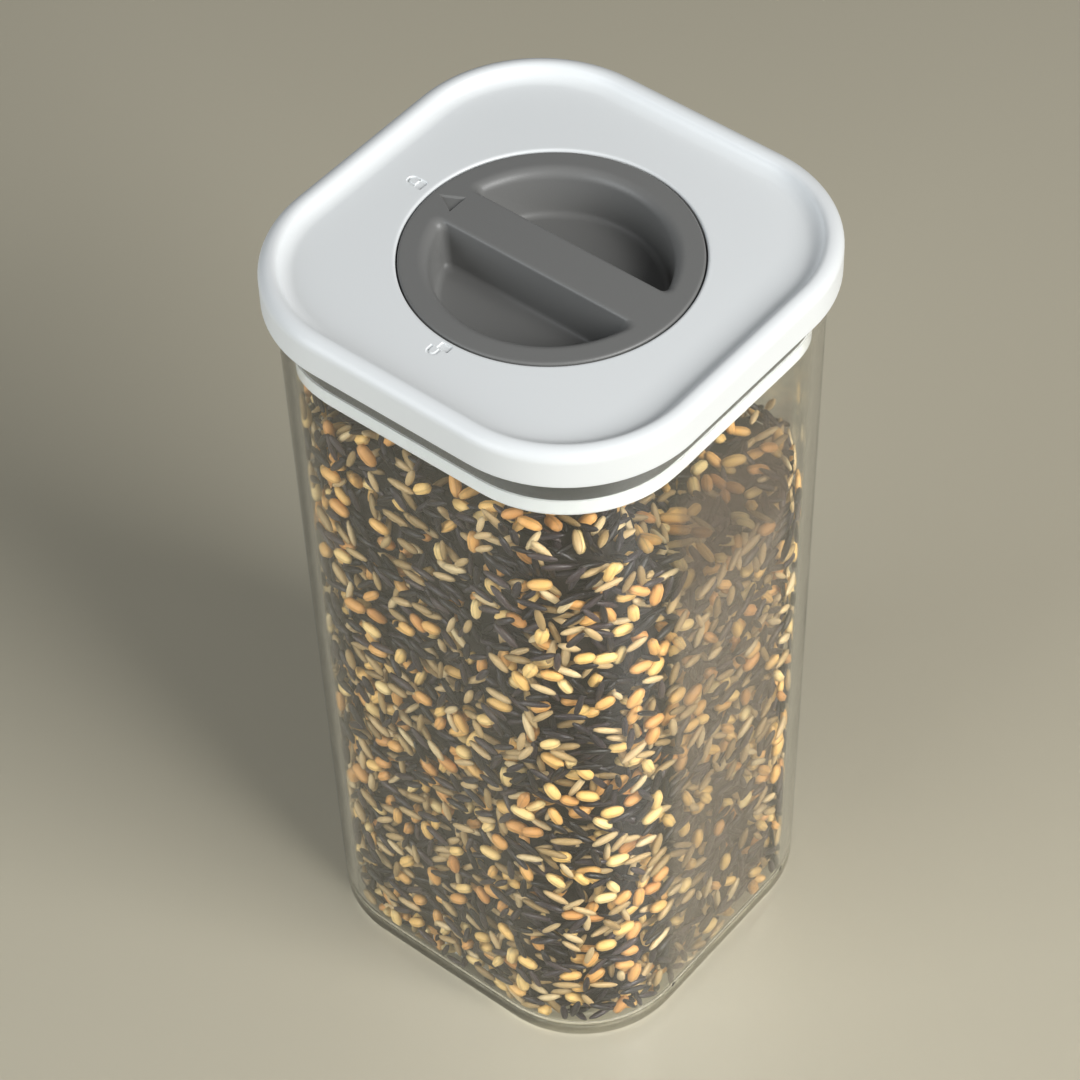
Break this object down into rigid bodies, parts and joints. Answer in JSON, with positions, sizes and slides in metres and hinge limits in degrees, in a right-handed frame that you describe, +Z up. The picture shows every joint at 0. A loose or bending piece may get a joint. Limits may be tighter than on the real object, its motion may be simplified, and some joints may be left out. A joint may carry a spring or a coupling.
{
  "type": "food storage canister",
  "caption": "Clear square storage canister with rounded corners and a white lid whose recessed grey twist knob lifts an inner plate and squeezes the gasket against the wall.",
  "frame": {"origin": "centre of the base, on the surface that the canister stands on", "axes": "+Z up; the flat sides face along X and Y; the knob's grip bar lies along X with its pointer towards -X when locked"},
  "size_m": [0.105, 0.105, 0.208],
  "materials": {
    "clear_plastic": "clear, smooth",
    "white_plastic": "fine matte",
    "grey_plastic": "satin",
    "silicone": "matte",
    "cam_plastic": "smooth",
    "washer_plastic": "smooth",
    "steel": "satin"
  },
  "bodies": {
    "canister": {"canister": "clear_plastic"},
    "lid": {"lid_cover": "white_plastic", "lid_frame": "white_plastic", "frame_screws": "steel", "gasket": "silicone", "slip_washer": "washer_plastic"},
    "knob": {"knob": "grey_plastic", "knob_clip_ring": "steel", "cam_pins": "steel"},
    "plate": {"pressure_plate": "white_plastic", "cam_ring": "cam_plastic", "cam_screws": "steel", "plate_cover": "white_plastic"}
  },
  "joints": [
    {"name": "lid_lift", "type": "slide", "parent": "canister", "child": "lid", "axis": [0, 0, 1], "range_m": [0, 0.08]},
    {"name": "knob_twist", "type": "hinge", "parent": "lid", "child": "knob", "pos_m": [0, 0, 0.2048], "axis": [0, 0, 1], "range_deg": [0, 90]},
    {"name": "plate_drop", "type": "slide", "parent": "lid", "child": "plate", "axis": [0, 0, -1], "range_m": [0, 0.0025], "deforming": ["gasket"]}
  ],
  "couplings": [
    {"joint": "knob_twist", "follows": "plate_drop", "rad_per_m": 628.32}
  ]
}
